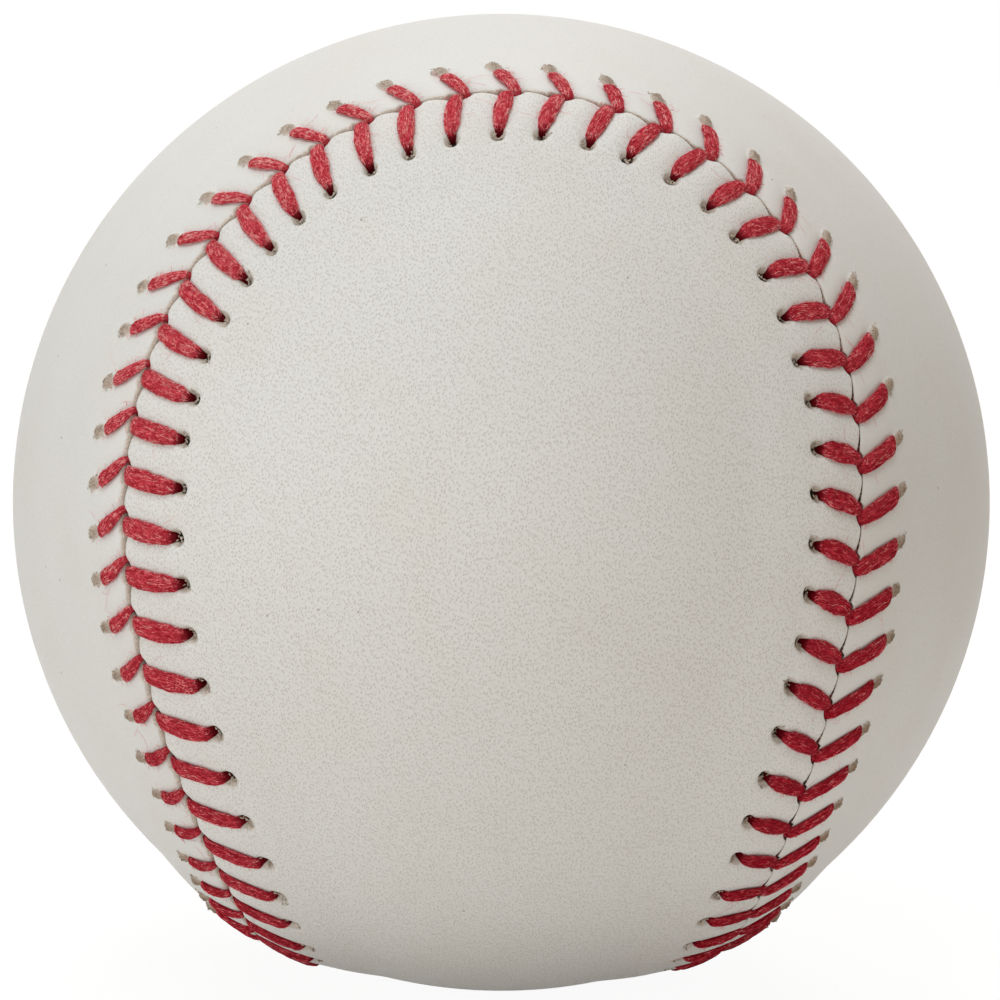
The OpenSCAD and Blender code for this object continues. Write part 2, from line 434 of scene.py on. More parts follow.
# %% [markdown]
# ## Lanes and rows of a panel
# A panel's sheet has lanes that run from the sewn edge to the middle of the panel, 14 to a stitch: nine
# over the hole, where the detail is, and five up to the next hole. Between the hole and the edge the
# lanes follow the leg of thread, so the dent under a leg stays crisp without a finer mesh.

# %% Lanes
HOLE_HALF = 0.95
HOLE_LANES = np.linspace(-1, 1, 9)
GAP_LANES = np.linspace(0, 1, 7)[1:-1]
LANES = len(HOLE_LANES) + len(GAP_LANES)
columns = LANES * STITCHES
lane_stitch = np.repeat(np.arange(STITCHES), LANES)
over_hole = np.tile(np.arange(LANES) < len(HOLE_LANES), STITCHES)


def spread(values, half_width=0.0, lap=0.0):
    over = values[:, None] + half_width * HOLE_LANES
    start = values + half_width
    end = np.roll(values, -1) - half_width
    end[-1] += lap
    gap = start[:, None] + (end - start)[:, None] * GAP_LANES
    return np.concatenate([over, gap], axis=1).ravel()


def lane_s(side, d):
    share = np.clip(1 - d / (hole_d[side] - HOLE_HALF), 0, 1)
    middle = hole_s[side] + (dive_s[side] - hole_s[side]) * share ** LEG_BEND[side]
    return spread(middle, HOLE_HALF, seam_len)


print("lanes of a panel:", columns)

# %% [markdown]
# ## The sewn edge
# Between two stitches the edges nearly touch, and at a stitch the two threads part them. The front
# panel's edge swells over the seam just after each stitch and draws back before the next one, so the
# seam line steps like a shallow saw. Where the thread is tight the edges are square and leave a thin
# gap, painted with shade as a dark line. Where it is slack they are rounded, the painted shade in the
# gap is lighter, and the top panel shows a pale raw slope.

# %% Sewn edge
SLOT = 0.31
SLOT_HALF = 0.82
SLOT_AHEAD = 0.14
SAW = 0.16
BEFORE_STITCH = 0.9
AFTER_STITCH = 0.7


def edge_d(side, s):
    past = np.mod(s + pull(s) - FIRST_STITCH - SLOT_AHEAD + BEFORE_STITCH, pitch) - BEFORE_STITCH
    parted = np.exp(-((past / SLOT_HALF) ** 6))
    apart = 0.11 - 0.04 * tight(s)
    swell_share = np.clip((past - AFTER_STITCH) / (pitch - AFTER_STITCH - BEFORE_STITCH), 0, 1)
    saw = SAW * (1 - 2 * swell_share) * (1 - parted)
    return apart + (SLOT - apart) * parted - side * saw


def shoulder_drop(side, s):
    if side == FRONT:
        return 0.46 - 0.32 * tight(s)
    return 0.38 - 0.3 * tight(s)


def shoulder_fall(side, s, run):
    width = 0.55 - 0.37 * tight(s)
    inward = np.clip(1 - run / width, 0, 1)
    return shoulder_drop(side, s) * (1 - np.sqrt(1 - inward ** 2))


SHOULDER = np.array([0.0, 0.04, 0.11, 0.21, 0.35, 0.54, 0.9])
print("drop of the front edge in mm:", shoulder_drop(FRONT, np.array([-70.0, 70.0])).round(2))

# %% [markdown]
# ## A punched hole
# The needle hole is round, but the sheet is made of squares. A square ring of the sheet becomes a round
# one when its corners are pulled in to the circle, and the rings between the hole and the square spread
# the change. On the front panel the inner rings sink and make a pit. On the top panel they rise a
# little and carry a tuft of torn leather.

# %% Hole in the sheet
HOLE_R = {FRONT: 0.64, TOP: 0.5}
HOLE_LONG = {FRONT: 1.0, TOP: 1.3}
HOLE_DEPTH = {FRONT: 0.85, TOP: -0.4}
lane_a, lane_b = np.meshgrid(HOLE_LANES, HOLE_LANES)
lane_m = np.maximum(np.abs(lane_a), np.abs(lane_b))
lane_n = np.maximum(np.hypot(lane_a, lane_b), 1e-9)
to_square = np.clip(2 * lane_m - 1, 0, 1)
hole_sink = np.interp(lane_m, [0, 0.25, 0.5, 0.75, 1], [1, 0.8, 0.15, 0.02, 0])


def hole_slip(side):
    ring = HOLE_R[side] * np.interp(lane_m, [0, 0.25, 0.5, 1], [0, 0.55, 1, 1.3])
    out_d = HOLE_LONG[side] * ring * lane_b / lane_n
    slip_s = ring * lane_a / lane_n - HOLE_HALF * lane_a
    slip_d = out_d - HOLE_HALF * lane_b
    return (1 - to_square) * slip_s, (1 - to_square) * slip_d, (1 - to_square) * out_d


print("front holes:", 2 * HOLE_R[FRONT], "mm across, with a rim of", int((lane_m == 0.5).sum()), "points")


# %% [markdown]
# ## The two leather panels
# Each panel starts at the middle of its flesh side, runs out to the sewn edge, round it, and back over
# the grain side to the middle again. The rows near the seam come from the sewing plan. Beyond the
# raised band the leather is plain ball, and lanes of both halves meet in pairs on the panel's spine,
# its line of symmetry.


# %% Rows beside the seam
LEATHER_T = 1.3


def grain_rows(side):
    edge_s = lane_s(side, 0.0)
    edge = edge_d(side, edge_s)
    rows = [(lane_s(side, run), edge + run, -shoulder_fall(side, edge_s, run), 0.0) for run in SHOULDER]
    lean = np.repeat(hole_lean[side], len(HOLE_LANES))
    for share in np.linspace(0, 1, 7)[1:-1]:
        d = SHOULDER[-1] + (hole_d[side] - HOLE_HALF - SHOULDER[-1]) * share
        rows.append((lane_s(side, d), spread(d) + (1 - share) * edge, 0.0, 0.0))
    for b, slip_s, slip_d, out_d, sink in zip(HOLE_LANES, *hole_slip(side), hole_sink):
        s = lane_s(side, hole_d[side] + HOLE_HALF * b)
        d = spread(hole_d[side] + HOLE_HALF * b)
        depth = np.zeros(columns)
        s[over_hole] += np.tile(slip_s, STITCHES) + lean * np.tile(out_d, STITCHES)
        d[over_hole] += np.tile(slip_d, STITCHES)
        rough = chance.uniform(0.75, 1.15, STITCHES * len(HOLE_LANES))
        depth[over_hole] = np.tile(sink, STITCHES) * rough
        bare = np.clip(0.6 * depth + 0.45 * (depth > 0.05), 0, 1)
        rows.append((s, d, -HOLE_DEPTH[side] * depth, bare))
    for share in np.linspace(0, 1, 7)[1:]:
        d = (hole_d[side] + HOLE_HALF) * (1 - share) + RISE_W * share
        rows.append((lane_s(side, d), spread(d), 0.0, 0.0))
    return rows


print("rows on the grain side beside the seam:", len(grain_rows(FRONT)))


# %% Rows over the middle
SPINE_DRAW = 0.22


def spine_angle(side, p):
    if side == FRONT:
        return np.arctan2(-p[..., 1], -p[..., 2])
    return np.arctan2(p[..., 0], p[..., 2])


def spine_dir(side, a):
    flat = np.zeros_like(a)
    if side == FRONT:
        return np.stack([flat, -np.sin(a), -np.cos(a)], axis=-1)
    return np.stack([np.sin(a), flat, np.cos(a)], axis=-1)


def middle_rows(side, band, shares, r):
    lobe_s = 0.0 if side == FRONT else seam_len / 4
    from_lobe = np.mod(lane_s(side, RISE_W) - lobe_s + seam_len / 2, seam_len) - seam_len / 2
    lobe = int(np.argmin(np.abs(from_lobe)))
    steps = np.mod(np.arange(columns) - lobe, columns)
    pair = np.minimum(steps, columns - steps)
    a = spine_angle(side, band[(lobe + pair) % columns])
    spine = spine_dir(side, a * (1 - SPINE_DRAW * (a / a[lobe]) ** 2))
    return np.array([r * unit(band * (1 - share) + spine * share) for share in shares])


print("a panel's lanes meet in", columns // 2 + 1, "pairs")


# %% Leather panels
FLESH_D = (RISE_W, 6.5, 3.4, 1.2)
WALL_SHARES = (0.0, 0.5, 0.75)
HOLES_FROM = 2.0


def leather_panel(name, side):
    near = grain_rows(side)
    flesh_r = ball_r - LEATHER_T
    edge_s = lane_s(side, 0.0)
    edge = edge_d(side, edge_s)
    places = []
    raw = []
    for d in FLESH_D:
        places.append(on_ball(lane_s(side, d), side * d, flesh_r + lift(d)))
        raw.append(np.ones(columns))
    top = sewn_height(side, lane_stitch, edge_s, np.maximum(edge, 0)) - shoulder_drop(side, edge_s)
    for share in WALL_SHARES:
        h = (lift(0.0) - LEATHER_T) * (1 - share) + top * share
        places.append(on_ball(edge_s, side * edge, ball_r + h))
        raw.append(np.ones(columns))
    for s, d, sink, bare in near:
        h = sewn_height(side, lane_stitch, s, np.maximum(d, 0)) + sink
        places.append(on_ball(s, side * d, ball_r + h))
        raw.append(np.zeros(columns) + bare)
    band = unit(places[-1])
    flesh = middle_rows(side, band, (1.0, 0.66, 0.33), flesh_r)
    grain = middle_rows(side, band, np.linspace(0, 1, 15)[1:], ball_r)
    sheet = np.concatenate([flesh, np.array(places), grain])
    raw = np.concatenate([np.ones(flesh.shape[:2]), np.array(raw), np.zeros(grain.shape[:2])])
    wall = len(flesh) + len(FLESH_D)
    shoulder = wall + len(WALL_SHARES)
    slope = (1 - tight(edge_s)) * (side == TOP)
    for row, run in enumerate(SHOULDER[:5]):
        raw[shoulder + row] = np.clip(0.9 + 0.35 * slope - run / (0.08 + 0.22 * slope), 0, 1)
    seam_d = np.full(raw.shape, RISE_W)
    seam_d[shoulder:-len(grain)] = np.array([np.broadcast_to(row[1], columns) for row in near])
    in_hole = raw * (seam_d > HOLES_FROM) * (seam_d < RISE_W)
    # Painted shade: the deep parts of the front holes and the seam gap are painted dark, by a random
    # amount per stitch and more where the thread is tight.
    hole_shade_jitter = np.repeat(chance.uniform(0.75, 1.2, STITCHES), LANES) + 0.15 * tight(edge_s)
    deep = np.clip(2 * in_hole - 1, 0, 1) * hole_shade_jitter * (side == FRONT)
    gap_shade = np.array([[1.0], [0.9], [0.3], [0.0]])
    gap_shade_tight = np.array([[1.0], [1.0], [1.0], [1.0 if side == TOP else 0.2]])
    deep[wall:wall + len(gap_shade)] = gap_shade + (gap_shade_tight - gap_shade) * tight(edge_s)
    # The top panel's tufts turn browner where less light falls: partly dirtier tufts, partly painted
    # shade.
    fluff = in_hole * (side == TOP) * (1 - 0.5 * worn(edge_s))
    marks = {"raw": raw, "deep": deep, "fluff": fluff, "seam_mm": seam_d}
    marks = {mark: np.concatenate([v, v[:, :1]], axis=1) for mark, v in marks.items()}
    piece = wrap_sheet(name, np.concatenate([sheet, sheet[:, :1]], axis=1), marks)
    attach(piece, "root")
    return piece


front_leather = leather_panel("front_leather", FRONT)
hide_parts("front_cover_panel")
top_leather = leather_panel("top_leather", TOP)
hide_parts("top_cover_panel")

# %% [markdown]
# ## The two threads
# Both threads run the whole seam. Each comes up a hole, lies over the leather as a flat leg, dives into
# the seam and goes under the other panel to that panel's next hole. One thread sews the odd legs of a
# side and the other the even ones. Each thread is one closed tube: rings of points are set along the
# route, wide on the leg and narrow in the hole, and nine shallow ridges that turn slowly round it are
# its plies.

# %% Route of a thread
LEG_SHARE = np.array([0.0, 0.02, 0.05, 0.1, 0.2, 0.36, 0.52, 0.68, 0.82, 0.92, 0.985])
LEG_H = {
    FRONT: np.array([-0.45, -0.1, 0.09, 0.16, 0.21, 0.25, 0.25, 0.23, 0.19, 0.11, -0.1]),
    TOP: np.array([-0.3, -0.04, 0.1, 0.16, 0.21, 0.25, 0.25, 0.23, 0.19, 0.11, -0.1]),
}
LEG_W = {
    FRONT: np.array([0.36, 0.4, 0.44, 0.49, 0.565, 0.625, 0.65, 0.645, 0.63, 0.6, 0.55]),
    TOP: np.array([0.5, 0.53, 0.55, 0.57, 0.58, 0.58, 0.57, 0.55, 0.52, 0.47, 0.4]),
}
LEG_NIP = np.array([0, 0, 0, 0, 0, 0.02, 0.06, 0.14, 0.26, 0.38, 0.45])
leg_start = {
    FRONT: 0.45 + hand_wave(stitch_s, 0.08, waves=2, peak=10),
    TOP: 0.62 + hand_wave(stitch_s, 0.2, waves=2, peak=-30),
}
HOLE_H = np.array([-1.1, -0.78])
SEAM_H = np.array([-0.5, -1.0])
THREAD_HALF = 0.26
NECK_HALF = 0.38
DIVE_HALF = 0.42
UNDER_HALF = 0.4
UNDER_GAP = 0.1
LEG_STRAY = 0.02
LEG_BOB = 0.012
RINGS = len(HOLE_H) + len(LEG_SHARE) + len(SEAM_H) + 1


def thread_route(first_side):
    i = np.arange(STITCHES)
    route = np.zeros((STITCHES, RINGS, 4))
    for side in (FRONT, TOP):
        mine = i[i % 2 == (0 if side == first_side else 1)]
        after = (mine + 1) % STITCHES
        start_d = hole_d[side][mine] - leg_start[side][mine]
        ring = 0
        for h in HOLE_H:
            r = ball_r + sewn_height(side, mine, hole_s[side][mine], start_d) + h
            route[mine, ring] = np.stack([hole_s[side][mine], side * start_d, r, 0 * r + NECK_HALF], 1)
            ring += 1
        for share, h, w, nip in zip(LEG_SHARE, LEG_H[side], LEG_W[side], LEG_NIP):
            d = start_d * (1 - share)
            s = leg_s(side, mine, d) + chance.normal(0, LEG_STRAY, len(mine))
            r = ball_r + sewn_height(side, mine, s, d) + h + chance.normal(0, LEG_BOB, len(mine))
            drawn_in = 1 - (loose[mine] * (0.2 + 0.35 * share**3) if side == TOP else nip * tight(s))
            drawn_in = drawn_in + hand_wave(s, 0.1, waves=4, peak=42)
            half_w = w * drawn_in * chance.uniform(0.94, 1.06, len(mine))
            route[mine, ring] = np.stack([s, side * d, r, half_w], 1)
            ring += 1
        for h in SEAM_H:
            r = np.full(len(mine), ball_r + SEAM_RISE + h)
            route[mine, ring] = np.stack([dive_s[side][mine], 0 * r, r, 0 * r + DIVE_HALF], 1)
            ring += 1
        next_s = hole_s[-side][after] + seam_len * (after < mine)
        next_d = -side * hole_d[-side][after] / 2
        r = ball_r - LEATHER_T + lift(next_d) / 2 - UNDER_GAP
        under_s = (dive_s[side][mine] + next_s) / 2
        route[mine, ring] = np.stack([under_s, next_d, r, 0 * r + UNDER_HALF], 1)
    return route.reshape(-1, 4)


print("rings of a thread:", STITCHES * RINGS)

# %% Frames along a thread
SIDES = 28
PLIES = 9
PLY_TURN = 0.16
RIDGE = 0.05
RIDGE_ROUGH = 0.012
NUDGE = 0.1
# Painted shade where the thread sinks into a hole and into the seam.
SUNK_SHADE = np.array([1, 1, 1, 0.8, 0.4, 0.1, 0, 0, 0, 0, 0, 0.05, 0.25, 0.6, 1, 1])


def thread_frames(route):
    s, d, r, half_w = route.T
    path = on_ball(s, d, r)
    way = unit(np.roll(path, -1, axis=0) - np.roll(path, 1, axis=0))
    along = unit(on_ball(s + NUDGE, d, r) - on_ball(s - NUDGE, d, r))
    across = unit(along - 0.4 * way * np.sum(along * way, axis=-1, keepdims=True))
    return path, across, unit(np.cross(way, across)), half_w


def thread_tube(name, route):
    path, across, up, half_w = thread_frames(route)
    angle = np.linspace(0, 2 * math.pi, SIDES + 1)
    twist = np.arange(len(path))[:, None] * PLY_TURN
    ply = 1 + RIDGE * np.cos(PLIES * angle + twist)
    rough = np.roll(chance.normal(0, RIDGE_ROUGH, (len(path), SIDES + 1)), 1, axis=0)
    ply = ply + rough * np.sin(angle / 2)
    wide = (half_w[:, None] * np.cos(angle) * ply)[..., None] * across[:, None]
    high = (THREAD_HALF * np.sin(angle) * ply)[..., None] * up[:, None]
    tube = path[:, None] + wide + high
    sunk = np.tile(SUNK_SHADE, STITCHES)[:, None] * np.ones(SIDES + 1)
    # Painted light: the tube is marked paler where the most light falls.
    painted_lit = worn(route[:, :1]) * np.ones(SIDES + 1)
    marks = {"sunk": np.concatenate([sunk, sunk[:1]]), "worn": np.concatenate([painted_lit, painted_lit[:1]])}
    piece = wrap_sheet(name, np.concatenate([tube, tube[:1]]), marks)
    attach(piece, "root")
    return piece


print("points round a thread:", SIDES, "on", PLIES, "plies")

# %% Threads
route_a = thread_route(FRONT)
route_b = thread_route(TOP)
thread_a = thread_tube("thread_a", route_a)
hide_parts("stitch_thread_a")
thread_b = thread_tube("thread_b", route_b)
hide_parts("stitch_thread_b")

# %% [markdown]
# ## Fibres on the legs
# The thread is spun from short fibres, and some stand out on top as pale pink lines. A bump
# could hint at them, but from close by a leg would look like moulded plastic. So each fibre is a tiny
# closed tube of its own. The fibres on one thread's legs on one panel come from one wrapped sheet that
# is cut between one fibre and the next. Each fibre carries its own shade as an attribute, and painted
# light makes it paler where the most light falls.

# %% Fibre tubes
FIBRE_SIDES = 3


def fibre_piece(name, paths, thickness, shades):
    count, points = paths.shape[:2]
    way = unit(np.gradient(paths, axis=1))
    across = unit(np.cross(way, unit(paths)))
    up = np.cross(way, across)
    taper = thickness / 2 * np.sin(np.linspace(0, math.pi, points)) ** 0.4
    taper[[0, -1]] = 0
    angle = np.linspace(0, 2 * math.pi, FIBRE_SIDES + 1)[:, None]
    ring = np.cos(angle) * across[:, :, None] + np.sin(angle) * up[:, :, None]
    tubes = paths[:, :, None] + taper[:, None, None] * ring
    shade = np.repeat(shades, points * (FIBRE_SIDES + 1))
    piece = wrap_sheet(name, tubes.reshape(count * points, FIBRE_SIDES + 1, 3), {"shade": shade}, points)
    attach(piece, "root")
    return piece


print("sides of a fibre:", FIBRE_SIDES)

# %% Fibres along the legs
FIBRES = 230
FIBRE_POINTS = 4
FIBRE_T = 0.042
FIBRE_STARTS = (0.7, 9.0)
FIBRE_SPANS = (0.7, 2.4)
FIRST_RING = len(HOLE_H)


def leg_fibres(name, route, first_leg):
    path, across, up, half_w = thread_frames(route)
    outward = np.sign(np.sum(up * path, axis=-1, keepdims=True))
    leg = np.repeat(np.arange(first_leg, STITCHES, 2), FIBRES)[:, None]
    run = np.linspace(0, 1, FIBRE_POINTS)
    start = chance.uniform(*FIBRE_STARTS, (len(leg), 1))
    span = chance.uniform(*FIBRE_SPANS, (len(leg), 1))
    end = np.minimum(start + span, len(LEG_SHARE) - 1.1)
    ring = start + (end - start) * run
    low = leg * RINGS + FIRST_RING + ring.astype(int)
    part = (ring - ring.astype(int))[..., None]
    angle = chance.uniform(0.0, 1.0, (len(leg), 1)) * math.pi
    angle = angle + chance.normal(0, 0.45, (len(leg), 1)) * (run - 0.5)
    angle = angle + chance.normal(0, 0.08, (len(leg), FIBRE_POINTS))
    out = 1.0 + chance.uniform(0, 0.12, (len(leg), 1)) + chance.normal(0, 0.03, (len(leg), FIBRE_POINTS))
    centre = path[low] * (1 - part) + path[low + 1] * part
    width = half_w[low] + (half_w[low + 1] - half_w[low]) * part[..., 0]
    side_step = (width * np.cos(angle) * out)[..., None] * across[low]
    rise = (THREAD_HALF * np.sin(angle) * out)[..., None] * (up * outward)[low]
    # Each fibre's own random shade, plus painted light that makes it paler where the most light falls.
    shades = 0.85 * chance.uniform(0, 1, len(leg)) ** 1.5 + 0.5 * worn(route[low[:, 0], 0]) ** 1.5
    return fibre_piece(name, centre + side_step + rise, FIBRE_T, shades)


fibre_pieces = [
    leg_fibres("front_leg_fibres_a", route_a, 0),
    leg_fibres("top_leg_fibres_a", route_a, 1),
    leg_fibres("top_leg_fibres_b", route_b, 0),
    leg_fibres("front_leg_fibres_b", route_b, 1),
]

# %% [markdown]
# ## Stray fuzz
# A few fibres have come loose from every leg and lie in faint curls on the leather. They are the same
# kind of tube, only finer. Each starts on a leg and wanders off beside it, and its height follows the
# leather.

# %% Fuzz
FUZZ = 40
FUZZ_POINTS = 5
FUZZ_T = 0.02


def leg_fuzz(name):
    i = np.tile(np.repeat(np.arange(STITCHES), FUZZ), 2)[:, None]
    count = len(i)
    front = np.arange(count) < count // 2
    run = np.linspace(0, 1, FUZZ_POINTS)
    begin = chance.uniform(0.05, 0.9, (count, 1))
    rim = chance.choice([-1, 1], (count, 1))
    length = 0.15 + 0.4 * chance.uniform(0, 1, (count, 1)) + 2.0 * chance.uniform(0, 1, (count, 1)) ** 40
    heading = chance.normal(0, 0.8, (count, 1)) + chance.normal(0, 0.9, (count, 1)) * run
    heading = heading + chance.normal(0, 0.12, (count, FUZZ_POINTS)).cumsum(axis=1)
    step = length / (FUZZ_POINTS - 1)
    hop_s = rim * (0.4 + np.cumsum(np.cos(heading) * step, axis=1))
    hop_d = np.cumsum(np.sin(heading) * step, axis=1)
    height = 0.3 - 0.22 * np.clip(run * length / 0.7, 0, 1) + chance.uniform(0, 0.15, (count, 1)) * run
    places = np.zeros((count, FUZZ_POINTS, 3))
    for side, mine in ((FRONT, front), (TOP, ~front)):
        d0 = hole_d[side][i[mine]] * begin[mine] * 0.88
        s = leg_s(side, i[mine], d0) + hop_s[mine]
        d = np.maximum(np.abs(d0 + hop_d[mine]), 0.1)
        h = sewn_height(side, i[mine], s, d) + height[mine]
        places[mine] = on_ball(s, side * d, ball_r + h)
    return fibre_piece(name, places, FUZZ_T, chance.uniform(0.5, 1, count))


fuzz = leg_fuzz("thread_fuzz")

# %% [markdown]
# ## Raw leather in the holes
# The needle tears the flesh side. On the front panel pale curls of it hang in each hole beside the
# thread, and on the top panel it is pushed up into a small brown tuft. Both are fibres again: a few
# thick ones for a curl, many thin ones for a tuft. Each starts somewhere in the hole and bends over its
# floor or over the tuft.

# %% Hole curls
CURL_POINTS = 5


def hole_curls(name, side, per_hole, reach, thickness, ruffle, shade_range):
    i = np.repeat(np.arange(STITCHES), per_hole)[:, None]
    count = len(i)
    run = np.linspace(0, 1, CURL_POINTS)
    turn = chance.uniform(0, math.pi, (count, 1)) * (1 if side == FRONT else 2)
    from_middle = np.sqrt(chance.uniform(0, 1, (count, 1))) * reach
    heading = chance.uniform(0, 2 * math.pi, (count, 1)) + chance.normal(0, 1.5, (count, 1)) * run
    step = chance.uniform(0.2, 0.6, (count, 1)) / (CURL_POINTS - 1)
    hop_s = from_middle * np.cos(turn) + np.cumsum(np.cos(heading) * step, axis=1)
    hop_d = from_middle * np.sin(turn) + np.cumsum(np.sin(heading) * step, axis=1)
    fill = np.repeat(chance.uniform(0, 0.8, STITCHES), per_hole)[:, None] * (side == FRONT)
    from_edge = np.clip(1 - np.hypot(hop_s, hop_d), 0, 1)
    out_d = HOLE_R[side] * HOLE_LONG[side] * hop_d
    s = hole_s[side][i] + HOLE_R[side] * hop_s + hole_lean[side][i] * out_d
    d = hole_d[side][i] + out_d
    sink = HOLE_DEPTH[side] * from_edge * (1 - fill)
    stand = chance.uniform(0.2, 1, (count, 1)) * ruffle * np.sin(run * math.pi)
    h = sewn_height(side, i, s, d) - sink + stand
    # Curls and tufts get darker where less light falls: partly dirt, partly painted shade.
    shades = chance.uniform(*shade_range, count) - 0.4 * (1 - worn(hole_s[side][i[:, 0]]))
    piece = fibre_piece(name, on_ball(s, side * d, ball_r + h), thickness, np.clip(shades, 0, 1))
    return piece


curls = hole_curls("hole_curls", FRONT, 8, reach=0.86, thickness=0.13, ruffle=0.1, shade_range=(0.4, 0.95))
fluff = hole_curls("hole_fluff", TOP, 36, reach=1.0, thickness=0.055, ruffle=0.15, shade_range=(0.1, 1))

# %% [markdown]
# ## Effects that several finishes share
# Pores, handling stains and raw fibre each appear in more than one finish, so each is a node group with
# its own values in every material. They read Object coordinates turned to millimetres, so the sizes
# below are the real ones. The streaks of spun thread are built the same way. Only they read the
# thread's own UV map, because they have to follow it.


# %% Node groups
def new_effect(name, knobs, results):
    effect = bpy.data.node_groups.new(name, "ShaderNodeTree")
    for knob, value in knobs.items():
        socket = effect.interface.new_socket(knob, in_out="INPUT", socket_type="NodeSocketFloat")
        socket.default_value = value
    for result in results:
        effect.interface.new_socket(result, in_out="OUTPUT", socket_type="NodeSocketFloat")
    return effect, effect.nodes.new("NodeGroupInput").outputs, effect.nodes.new("NodeGroupOutput").inputs


def millimetres(tree):
    spot = put(tree, "TexCoord").outputs["Object"]
    return put(tree, "Mapping", Vector=spot, Scale=(1000, 1000, 1000)).outputs[0]


def use_effect(tree, effect, **knobs):
    made = tree.nodes.new("ShaderNodeGroup")
    made.node_tree = effect
    for knob, value in knobs.items():
        join(tree, value, made.inputs[knob.replace("_", " ")])
    return made.outputs


print("effect helpers ready")

# %% Pores
pores, knob, result = new_effect("leather_pores", {"Turn": 0.0, "Per mm": 5.0}, ["Pit", "Grain"])
turned = put(pores, "VectorRotate", rotation_type="Z_AXIS", Vector=millimetres(pores), Angle=knob["Turn"])
spot = put(pores, "SeparateXYZ", Vector=turned.outputs[0]).outputs
facing = sums(pores, "DIVIDE", sums(pores, "ABSOLUTE", spot["Y"], 0.0), ball_r)
spread_out = sums(pores, "POWER", sums(pores, "DIVIDE", 2.0, sums(pores, "ADD", facing, 1.0)), 0.5)
hide = put(pores, "CombineXYZ", X=sums(pores, "MULTIPLY", spot["X"], spread_out))
join(pores, sums(pores, "MULTIPLY", spot["Z"], spread_out), hide.inputs["Y"])
blur = put(pores, "TexNoise", Vector=hide.outputs[0], Scale=1.1, Detail=2.0)
shifted = put(pores, "VectorMath", operation="MULTIPLY_ADD")
join(pores, blur.outputs["Color"], shifted.inputs[0])
shifted.inputs[1].default_value = (0.3, 0.3, 0.3)
join(pores, hide.outputs[0], shifted.inputs[2])
lean = put(pores, "Mapping", Vector=shifted.outputs[0], Rotation=(0, 0, math.radians(20)))
drawn = put(pores, "Mapping", Vector=lean.outputs[0], Scale=(1, 0.52, 1))
cells = put(pores, "TexVoronoi", voronoi_dimensions="2D", Vector=drawn.outputs[0], Randomness=0.85)
join(pores, knob["Per mm"], cells.inputs["Scale"])
pit = ramped(pores, cells.outputs["Distance"], 0.44, 0.14)
lot = put(pores, "SeparateColor", Color=cells.outputs["Color"]).outputs[0]
join(pores, sums(pores, "MULTIPLY", pit, sums(pores, "ADD", 0.25, lot)), result["Pit"])
fine = put(pores, "TexNoise", Vector=drawn.outputs[0], Scale=4.5, Detail=3.0)
join(pores, fine.outputs["Fac"], result["Grain"])
print("pores:", len(pores.nodes), "nodes")

# %% Stains, raw fibre and streaks
stain, knob, result = new_effect("handling_stain", {"Per mm": 0.12}, ["Tone", "Speck"])
patch = put(stain, "TexNoise", Vector=millimetres(stain), Scale=knob["Per mm"], Detail=5.0, Roughness=0.6)
join(stain, ramped(stain, patch.outputs["Fac"], 0.42, 0.72), result["Tone"])
dots = put(stain, "TexVoronoi", Vector=millimetres(stain), Scale=0.28)
join(stain, ramped(stain, dots.outputs["Distance"], 0.035, 0.02), result["Speck"])

raw_fibre, knob, result = new_effect("raw_fibre", {"Per mm": 7.0}, ["Tone"])
tuft = put(raw_fibre, "TexNoise", Vector=millimetres(raw_fibre), Detail=4.0, Distortion=1.5)
join(raw_fibre, knob["Per mm"], tuft.inputs["Scale"])
join(raw_fibre, ramped(raw_fibre, tuft.outputs["Fac"], 0.3, 0.7), result["Tone"])

streaks, knob, result = new_effect("spun_streaks", {"Along": 300.0, "Across": 9.0}, ["Streak"])
spool = put(streaks, "UVMap", uv_map="run").outputs[0]
ends = put(streaks, "SeparateXYZ", Vector=spool).outputs
thin = put(streaks, "CombineXYZ", X=sums(streaks, "MULTIPLY", ends["X"], knob["Across"]))
join(streaks, sums(streaks, "MULTIPLY", ends["Y"], knob["Along"]), thin.inputs["Y"])
strand = put(streaks, "TexNoise", Vector=thin.outputs[0], Scale=4.0, Detail=4.0, Roughness=0.65)
join(streaks, ramped(streaks, strand.outputs["Fac"], 0.32, 0.7), result["Streak"])
print("effects:", [g.name for g in bpy.data.node_groups])

# %% [markdown]
# ## White leather
# Alum-tanned cowhide is a warm white with fine pores, which stand open on the front panel and hardly
# show on the top one; the pores are painted with shade. Cut edges and hole walls show raw beige fibre.
# The deepest places, in the front holes and the seam gap, are painted dark with shade, and the top
# panel's tufts turn browner where less light falls, partly dirt and partly painted shade.
# One function builds the finish for both panels. Its numbers say which way the panel's lobes face and
# how open the pores are.


# %% Leather finish
WARM_WHITE = (0.8, 0.785, 0.755, 1)
HANDLED_WHITE = (0.77, 0.735, 0.675, 1)
GRAIN_SHADE = (0.6, 0.57, 0.52, 1)
PORE_PAINTED_SHADE = (0.4, 0.36, 0.3, 1)
SPECK_BROWN = (0.25, 0.2, 0.15, 1)
RAW_BEIGE = (0.56, 0.47, 0.39, 1)
RAW_CREAM = (0.87, 0.79, 0.7, 1)
TUFT_BROWN = (0.19, 0.105, 0.055, 1)
TUFT_TAN = (0.42, 0.28, 0.18, 1)
DEEP_SHADE = (0.03, 0.02, 0.013, 1)


